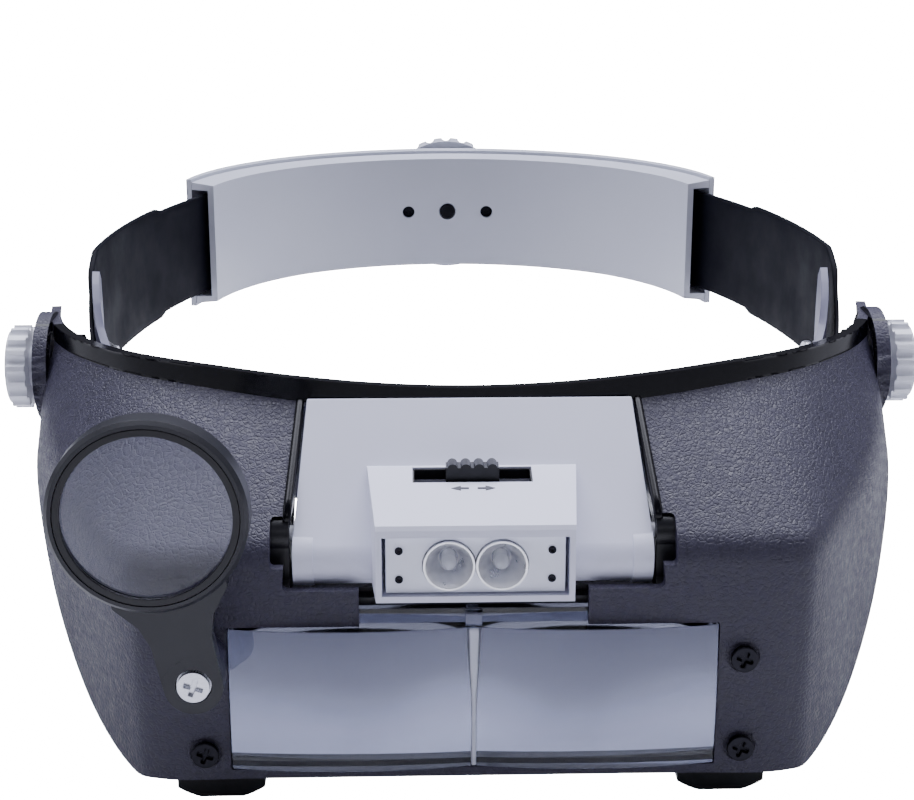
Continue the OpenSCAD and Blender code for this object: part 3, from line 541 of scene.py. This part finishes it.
def shell():
    """The visor's moulded shell with its ears, loupe post, openings and screw holes."""
    ob = build_shell()
    for s in (-1, 1):
        cut(ob, [rod("x", (EAR_IN if s > 0 else -EAR_OUT, TILT_Y, TILT_Z), 3.0, 12, seg=96)], "UNION")
    post = rod("y", (LOUPE[0], -118.9, LOUPE[1]), 8.0, 5, seg=64)
    cut(ob, [post], "UNION")
    for opening, back, corner in OPENINGS:
        cut(ob, [prism(opening, AHEAD_Y, back, corner)])
    holes = [rod("y", (x, -115, z), 12, 1.55, seg=32) for x, z in SCREWS]
    holes += [rod("y", (x, -112.6, z), 0.9, 3.1, seg=48) for x, z in SCREWS]
    holes += [rod("x", (s * 90 - 6, TILT_Y, TILT_Z), 12, 2.05, seg=32) for s in (-1, 1)]
    holes += [rod("x", (80 if s > 0 else -EAR_IN, TILT_Y, TILT_Z), EAR_IN - 80, 9, seg=64) for s in (-1, 1)]
    for t in holes:
        cut(ob, [t])
    # Brow rim faces get the glossy near-black rim material, a darker copy of the shell plastic: painted shade
    # for faces turned to the front; the rest is grained
    me = ob.data
    me.materials.clear()
    me.materials.append(M["shell"])
    me.materials.append(M["rim"])
    for p in me.polygons:
        c = p.center / MM
        lip = rim_drop(c)
        p.material_index = 1 if lip else 0
        p.use_smooth = True
    b = ob.modifiers.new("round", "BEVEL")
    b.width = 0.35 * MM
    b.segments = 3
    b.limit_method = "ANGLE"
    b.angle_limit = math.radians(40)
    b.use_clamp_overlap = True
    n = ob.modifiers.new("shade", "WEIGHTED_NORMAL")
    n.weight = 40
    bake(ob)
    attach(ob, "visor")
    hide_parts("visor_shell")
    return ob


BROW_LINE = [spline(BROW, i / 8) for i in range(8 * LAST + 1)]


def rim_drop(c):
    """True for points on the upright brow rim."""
    x = abs(c.x)
    p = min(BROW_LINE, key=lambda q: (q.x - x) ** 2 + (q.y - c.y) ** 2)
    near = math.hypot(p.x - x, p.y - c.y)
    s = BROW_LINE.index(p) / 8
    return near < 2.9 and c.z > p.z - 5 * (1 - 0.45 * s / LAST) + 0.1 and s < LAST - 1.2


shell()


# ------------------------------------------------------------------ CAD pieces kept, edges rounded
for node, material, width in [
    ("forehead_band", "band", 0.35), ("temple_bolts", "steel", 0.3), ("temple_spacers", "black", 0.2),
    ("knob_left", "knob", 0.3), ("knob_right", "knob", 0.3),
    ("rear_cover_inner", "cover", 0.4), ("rear_cover_outer", "cover", 0.7), ("cover_screws", "dark", 0.12),
    ("rear_knob", "cover", 0.5), ("pinion", "white", 0.12), ("knob_axle", "dark", 0.2),
    ("lens_retainer", "black", 0.3), ("shell_screws", "dark", 0.28), ("lamp_brackets", "black", 0.5),
    ("inner_lens_frame", "black", 0.6), ("hinge_pins", "steel", 0.15), ("lamp_housing", "grey", 0.5),
    ("lamp_cover", "grey", 0.55), ("battery_door", "grey", 0.25), ("battery_cells", "cell", 0.4),
    ("battery_contacts", "steel", 0.08), ("lamp_pins", "knob", 0.25), ("slider_board", "board", 0.1),
    ("pan_slider", "black", 0.25), ("led_carrier", "white", 0.22), ("led_reflector", "chrome", 0.12),
    ("leds", "resin", 0.0), ("carrier_screws", "dark", 0.08), ("loupe_frame", "loupe", 0.7),
    ("loupe_retainer", "black", 0.15), ("loupe_screw", "steel", 0.3), ("loupe_washer", "steel", 0.08),
    ("main_lens", "lens", 0.12), ("inner_lens", "lens_in", 0.12), ("loupe_lens", "loupe_glass", 0.0),
]:
    dress(node, material, width)


# ------------------------------------------------------------------ straps, pad and small parts
def loft(name, rings, mat):
    """Skin over closed rings of points in mm, all with the same count."""
    k = len(rings[0])
    verts = [Vector(p) * MM for ring in rings for p in ring]
    faces = [(i * k + j, i * k + (j + 1) % k, (i + 1) * k + (j + 1) % k, (i + 1) * k + j)
             for i in range(len(rings) - 1) for j in range(k)]
    faces += [tuple(range(k))[::-1], tuple((len(rings) - 1) * k + j for j in range(k))]
    ob = mesh_object(name, verts, faces, mat)
    bm = bmesh.new()
    bm.from_mesh(ob.data)
    bmesh.ops.recalc_face_normals(bm, faces=bm.faces)
    bm.to_mesh(ob.data)
    bm.free()
    return ob


STRAP_TOP = [(-52.5, -9), (-51.5, -5.5), (-48, -2), (-43, 1), (-38, 5.5), (-33, 11), (-26, 14.3)]
STRAP_LOW = [(-52.5, -9), (-50.5, -12.6), (-46, -14.3)]


def strap(name, side, d):
    """Moulded strap with rounded edges, shallow hollow faces and a lower tail, thinner at the temple."""
    rings = []
    front = next(a / 20 for a in range(0, -900, -1) if line_at(a / 20, d)[1] <= -52.3)
    for a in arc_steps(front, 118.0, 1.5):
        y = line_at(a, 0)[1]
        step = ease((a - 13.0) / 1.0)
        top = min(table(STRAP_TOP, y) if a < 0 else 14.3, lerp(14.3, 13.3, step))
        low = max(table(STRAP_LOW, y) if a < 0 else -14.3, -lerp(14.3, 13.3, step))
        top = max(top, low + 1.2)
        r = 0.45
        wall = lerp(1.4, 1.0, ease((-33.0 - y) / 4.0))
        zs = [lerp(low + r, top - r, i / 14) for i in range(15)]
        ring = [(d + wall - 0.12 * ease(1 - abs(2 * i / 14 - 1)), z) for i, z in enumerate(zs)]
        ring += [(d + wall - r * (1 - math.cos(t)), top - r + r * math.sin(t)) for t in (0.4, 0.8, 1.2)]
        ring += [(d + r * (1 - math.sin(t)), top - r + r * math.cos(t)) for t in (0.4, 0.8, 1.2)]
        ring += [(d + 0.12 * ease(1 - abs(2 * i / 14 - 1)), z) for i, z in enumerate(zs)][::-1]
        ring += [(d + r * (1 - math.cos(t)), low + r - r * math.sin(t)) for t in (0.4, 0.8, 1.2)]
        ring += [(d + wall - r * (1 - math.sin(t)), low + r - r * math.cos(t)) for t in (0.4, 0.8, 1.2)]
        pts = []
        for off, z in ring:
            x, yy = line_at(a, off)
            pts.append((side * x, yy, z))
        rings.append(pts)
    ob = loft(name, rings, M["strap"])
    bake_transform(ob)
    return ob


for name, node, side, d in (("strap_skin_left", "strap_left", -1, -1.5),
                            ("strap_skin_right", "strap_right", 1, 0.1)):
    ob = strap(name, side, d)
    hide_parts(node)

PAD_TOP = [(-80, -8.5), (-57, -5), (-47.5, 1.5)]
PAD_LOW = [(-80, -29), (-57, -26), (-47.5, -22)]


def forehead_pad():
    """Foam pad in a knit cover: flat on the band, crowned toward the head, with stitched channels."""
    start = next(a / 20 for a in range(0, -900, -1) if line_at(a / 20, -5)[1] <= -47.8)
    angles = arc_steps(start, -180 - start, 1.6)
    total = len(angles) - 1
    rings = []
    for i, a in enumerate(angles):
        y = line_at(a, -3.6)[1]
        top, low = table(PAD_TOP, y), table(PAD_LOW, y)
        end = ease(min(i, total - i) * 1.6 / 6.0)
        mid, half = (top + low) / 2, (top - low) / 2 * lerp(0.8, 1.0, end)
        channel = abs(math.sin(math.pi * i * 1.6 / 17.0)) ** 0.45
        thick = lerp(1.2, 4.0, end) * lerp(0.62, 1.0, channel)
        ring = [(-3.7, mid + half * t) for t in (-0.97, -0.6, -0.2, 0.2, 0.6, 0.97)]
        for j in range(17):
            u = 1 - 2 * j / 16
            ring.append((-3.75 - thick * (1 - abs(u) ** 3.2) ** 0.6, mid + half * u))
        pts = []
        for off, z in ring:
            x, yy = line_at(a, off)
            pts.append((x, yy, z))
        rings.append(pts)
    ob = loft("pad_cushion", rings, M["foam"])
    sub = ob.modifiers.new("smooth", "SUBSURF")
    sub.levels = sub.render_levels = 1
    bake(ob)
    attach(ob, "headband")
    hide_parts("forehead_pad")
    return ob


forehead_pad()


def rails():
    """Glossy lips down both sides of the lamp cut-out, made near-black with painted shade like the brow rim.
    """
    for side in (-1, 1):
        rings = []
        for i in range(31):
            t = i / 30
            y, z = lerp(-81.5, -106.6, t), lerp(-3.7, -21.4, t)
            x = lerp(32.6, 34.4, t)
            lift = 1.1 * ease(min(t, 1 - t) * 12)
            skirt = -4.5 - 3.0 * ease((t - 0.6) / 0.3)
            foot = lerp(-0.35, 0.7, (-4.5 - skirt) / 3.0)
            ring = [(x + foot, skirt), (x - 0.35, lift - 0.35), (x, lift), (x + 0.9, lift),
                    (x + 1.25, lift - 0.35), (x + 1.25, skirt)]
            rings.append([(side * rx, y - 0.56 * h, z + 0.83 * h) for rx, h in ring])
        ob = loft("rail_left" if side < 0 else "rail_right", rings, M["rim"])
        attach(ob, "visor")


rails()


# Radius of each lens panel's bulge and the distance of its middle from the seam, mm
BULGE_R, PANEL_X = 130, 23


def lens_seam():
    """A whitish strip along the valley line where the two lens panels meet: a painted highlight on the seam.
    """
    valley = math.sqrt(BULGE_R ** 2 - PANEL_X ** 2)
    rings = []
    for i in range(41):
        t = i / 40
        z = lerp(-41.3, -69.6, t)
        wide = lerp(1.3, 0.5, ease(t * 1.6))
        y = -112.95 - math.sqrt(BULGE_R ** 2 - PANEL_X ** 2 - (z + 55.45) ** 2) + valley + 0.1
        rings.append([(-wide, y, z), (-wide * 0.4, y - 0.25, z), (wide * 0.4, y - 0.25, z), (wide, y, z),
                      (0, y + 0.3, z)])
    ob = loft("lens_seam", rings, M["haze"])
    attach(ob, "visor")


lens_seam()


HOOD_SLOPE = math.atan2(4.5, 20.4)


def slot_shade_sheet():
    """Thin black sheet round the walls of the slider slot, clear of the thumb piece: painted shade in the
    slot.
    """
    outer = [(-11.28, -98.83), (11.28, -98.83), (11.28, -104.17), (-11.28, -104.17)]
    inner = [(-11.0, -99.1), (11.0, -99.1), (11.0, -103.95), (-11.0, -103.95)]

    def top(y):
        return -15.6 + (y + 104.6) * math.tan(HOOD_SLOPE)

    def low(y):
        return max(-19.8, -16.0 + (y + 98.83))

    bm = bmesh.new()
    rings = [[bm.verts.new((x * MM, y * MM, end(y) * MM)) for x, y in ring]
             for ring, end in ((outer, top), (inner, top), (inner, low), (outer, low))]
    for j in range(4):
        ra, rb = rings[j], rings[(j + 1) % 4]
        for i in range(4):
            bm.faces.new((ra[i], ra[(i + 1) % 4], rb[(i + 1) % 4], rb[i]))
    bm_object("slot_shade_sheet", bm, M["black"], "lamp", smooth=False)


slot_shade_sheet()


def notch_shelf():
    """Thin black shelf that closes the shell's notch behind the light head."""
    bm = bmesh.new()
    bmesh.ops.create_cube(bm, size=1.0)
    bmesh.ops.scale(bm, vec=(44.8 * MM, 4.0 * MM, 1.3 * MM), verts=bm.verts)
    bmesh.ops.translate(bm, vec=Vector((0, -105.3, -37.55)) * MM, verts=bm.verts)
    bm_object("notch_shelf", bm, M["black"], "visor", smooth=False)


notch_shelf()


def marks():
    """Two small generic arrows moulded below the slider slot, one for each way the light turns."""
    for k, side in enumerate((-1, 1)):
        bm = bmesh.new()
        pts = [(0.8, 0.25), (2.3, 0.25), (2.3, 0.8), (4.1, 0.0), (2.3, -0.8), (2.3, -0.25), (0.8, -0.25)]
        base = Vector((0, -106.4, -15.65)) * MM
        up = Vector((0, math.cos(HOOD_SLOPE), math.sin(HOOD_SLOPE)))
        out = Vector((0, -math.sin(HOOD_SLOPE), math.cos(HOOD_SLOPE)))
        for h in (0.12, -0.3):
            at = [base + Vector((side * x, 0, 0)) * MM + up * y * MM + out * h * MM for x, y in pts]
            ring = [bm.verts.new(v) for v in at]
            bm.faces.new(ring)
        bm.verts.ensure_lookup_table()
        n = len(pts)
        for i in range(n):
            bm.faces.new((bm.verts[i], bm.verts[(i + 1) % n], bm.verts[n + (i + 1) % n], bm.verts[n + i]))
        bm_object(f"turn_mark_{k}", bm, M["mark"], "lamp", smooth=False)


marks()


# ------------------------------------------------------------------ camera, light and floor
def look(location, forward, lens):
    cam = bpy.data.cameras.new("camera")
    cam.lens = lens
    cam.sensor_width = 36
    cam.clip_start = 0.01
    ob = bpy.data.objects.new("camera", cam)
    ob.location = location
    ob.rotation_euler = Vector(forward).to_track_quat("-Z", "Y").to_euler()
    bpy.context.scene.collection.objects.link(ob)
    bpy.context.scene.camera = ob


ELEV, AZ = math.radians(16.0), math.radians(-1.6)
EYE, LENS = (-0.0114, -0.4059, 0.0874), 66.96
look(EYE, (-math.sin(AZ) * math.cos(ELEV), math.cos(AZ) * math.cos(ELEV), -math.sin(ELEV)), LENS)


def area(name, at, target, size, power, colour):
    li = bpy.data.lights.new(name, "AREA")
    li.shape = "RECTANGLE"
    li.size, li.size_y = size
    li.energy = power
    li.color = colour
    ob = bpy.data.objects.new(name, li)
    ob.location = at
    ob.rotation_euler = (Vector(target) - Vector(at)).to_track_quat("-Z", "Y").to_euler()
    bpy.context.scene.collection.objects.link(ob)
    return ob


STUDIO = (0.86, 0.875, 1.0)
area("top", (0.0, 0.25, 0.85), (0, -0.04, 0), (1.2, 0.7), 26, STUDIO)
area("left", (-0.85, 0.0, 0.45), (0, -0.03, -0.02), (0.5, 0.7), 1.9, STUDIO)
area("right", (0.85, 0.0, 0.45), (0, -0.03, -0.02), (0.5, 0.7), 1.9, STUDIO)
area("front", (0.0, -1.1, 0.55), (0, -0.08, -0.03), (0.5, 0.3), 0.9, (0.88, 0.89, 1.0))

world = bpy.data.worlds.new("studio")
bpy.context.scene.world = world
world.use_nodes = True
bg = world.node_tree.nodes["Background"]
bg.inputs["Color"].default_value = (*STUDIO, 1)
bg.inputs["Strength"].default_value = 0.14

FLOOR_Z = -0.0812
# White paper that glows for camera rays only, so that it stays bright to the edges of the view
fm, fnt, fb = new_material("paper_floor")
fvec = coords(fnt)
paper = ramp(fnt, noise_tex(fnt, fvec, 2.0, 2), [(0.3, (0.88, 0.88, 0.9)), (0.7, (0.92, 0.92, 0.93))])
fnt.links.new(paper, fb.inputs["Base Color"])
put(fb, Roughness=0.9, Specular_IOR_Level=0.1)
path = fnt.nodes.new("ShaderNodeLightPath")
glow = span(fnt, path.outputs["Is Camera Ray"], 0.0, 24.0)
fnt.links.new(glow, fb.inputs["Emission Strength"])
put(fb, Emission_Color=(1, 1, 1, 1))
bpy.ops.mesh.primitive_plane_add(size=14, location=(0, 0, FLOOR_Z))
floor = bpy.context.object
floor.name = "floor"
floor.data.materials.append(fm)
